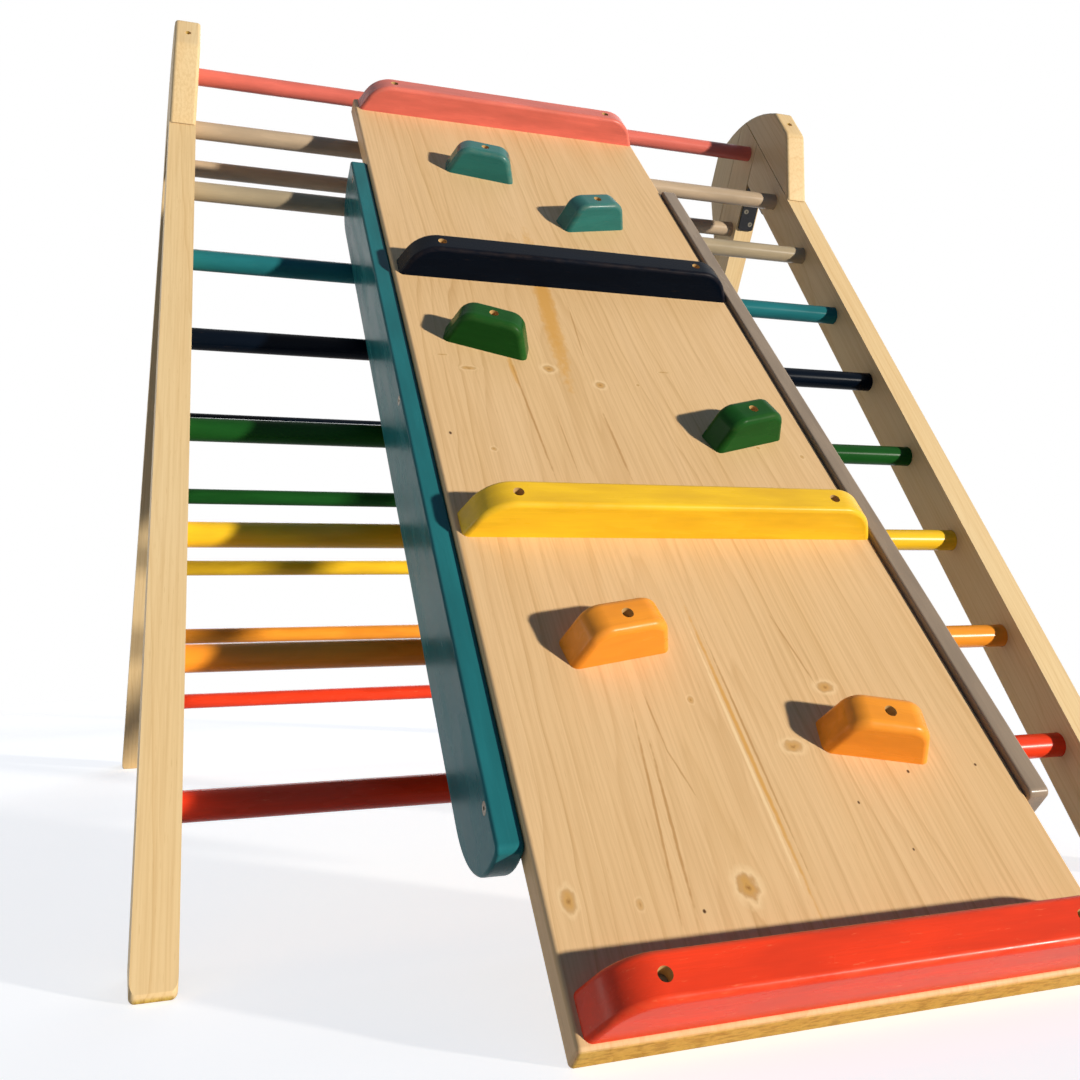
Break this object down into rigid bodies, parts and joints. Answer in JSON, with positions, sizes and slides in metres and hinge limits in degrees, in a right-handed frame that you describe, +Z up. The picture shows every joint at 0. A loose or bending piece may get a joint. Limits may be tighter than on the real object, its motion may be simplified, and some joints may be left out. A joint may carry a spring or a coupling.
{
  "type": "climbing triangle with ramp",
  "caption": "Folding wooden climbing triangle with rainbow rungs and a lift-off climbing ramp that has painted battens and grip holds.",
  "frame": {"origin": "floor point below the centre of the bounding box, the ladder's middle across", "axes": "+X to the right seen from the ramp side, +Y from the ramp towards the rear legs, +Z up"},
  "size_m": [0.844, 1.5118, 0.947],
  "materials": {
    "rail_wood": "satin",
    "plank_wood": "satin",
    "paint_coral": "satin",
    "paint_taupe": "satin",
    "paint_stone": "satin",
    "paint_teal": "satin",
    "paint_navy": "satin",
    "paint_green": "satin",
    "paint_yellow": "satin",
    "paint_orange": "satin",
    "paint_red": "satin",
    "paint_grey": "satin",
    "paint_moss": "satin",
    "hinge_steel": "satin",
    "screw_steel": "satin"
  },
  "bodies": {
    "front_frame": {"front_rail_left": "rail_wood", "front_rail_right": "rail_wood", "front_head_block_left": "rail_wood", "front_head_block_right": "rail_wood", "front_rung_1": "paint_taupe", "front_rung_2": "paint_stone", "front_rung_3": "paint_teal", "front_rung_4": "paint_navy", "front_rung_5": "paint_green", "front_rung_6": "paint_yellow", "front_rung_7": "paint_orange", "front_rung_8": "paint_red", "hinge_leaf_front_left": "hinge_steel", "hinge_leaf_front_right": "hinge_steel", "hinge_pin_left": "hinge_steel", "hinge_pin_right": "hinge_steel", "front_rung_screws": "screw_steel", "front_hinge_screws": "screw_steel", "front_head_screws": "screw_steel"},
    "rear_frame": {"rear_rail_left": "rail_wood", "rear_rail_right": "rail_wood", "rear_head_block_left": "rail_wood", "rear_head_block_right": "rail_wood", "top_rung": "paint_coral", "rear_rung_1": "paint_taupe", "rear_rung_2": "paint_stone", "rear_rung_3": "paint_teal", "rear_rung_4": "paint_navy", "rear_rung_5": "paint_green", "rear_rung_6": "paint_yellow", "rear_rung_7": "paint_orange", "rear_rung_8": "paint_red", "hinge_leaf_rear_left": "hinge_steel", "hinge_leaf_rear_right": "hinge_steel", "rear_rung_screws": "screw_steel", "rear_hinge_screws": "screw_steel", "rear_head_screws": "screw_steel"},
    "ramp": {"hook_block_left": "plank_wood", "hook_block_right": "plank_wood", "ramp_plank": "plank_wood", "ramp_side_rail_left": "paint_teal", "ramp_side_rail_right": "paint_grey", "batten_coral": "paint_coral", "batten_navy": "paint_navy", "batten_yellow": "paint_yellow", "batten_red": "paint_red", "hold_teal_left": "paint_moss", "hold_teal_right": "paint_moss", "hold_green_left": "paint_green", "hold_green_right": "paint_green", "hold_orange_left": "paint_orange", "hold_orange_right": "paint_orange", "batten_screws": "screw_steel", "hold_screws": "screw_steel", "side_rail_screws": "screw_steel", "hook_screws": "screw_steel"}
  },
  "joints": [
    {"name": "frame_fold", "type": "hinge", "parent": "front_frame", "child": "rear_frame", "pos_m": [0, 0.11743, 0.83937], "axis": [-1, 0, 0], "range_deg": [0, 68]},
    {"name": "ramp_lift", "type": "slide", "parent": "front_frame", "child": "ramp", "axis": [0, 0, 1], "range_m": [0, 0.3]}
  ]
}
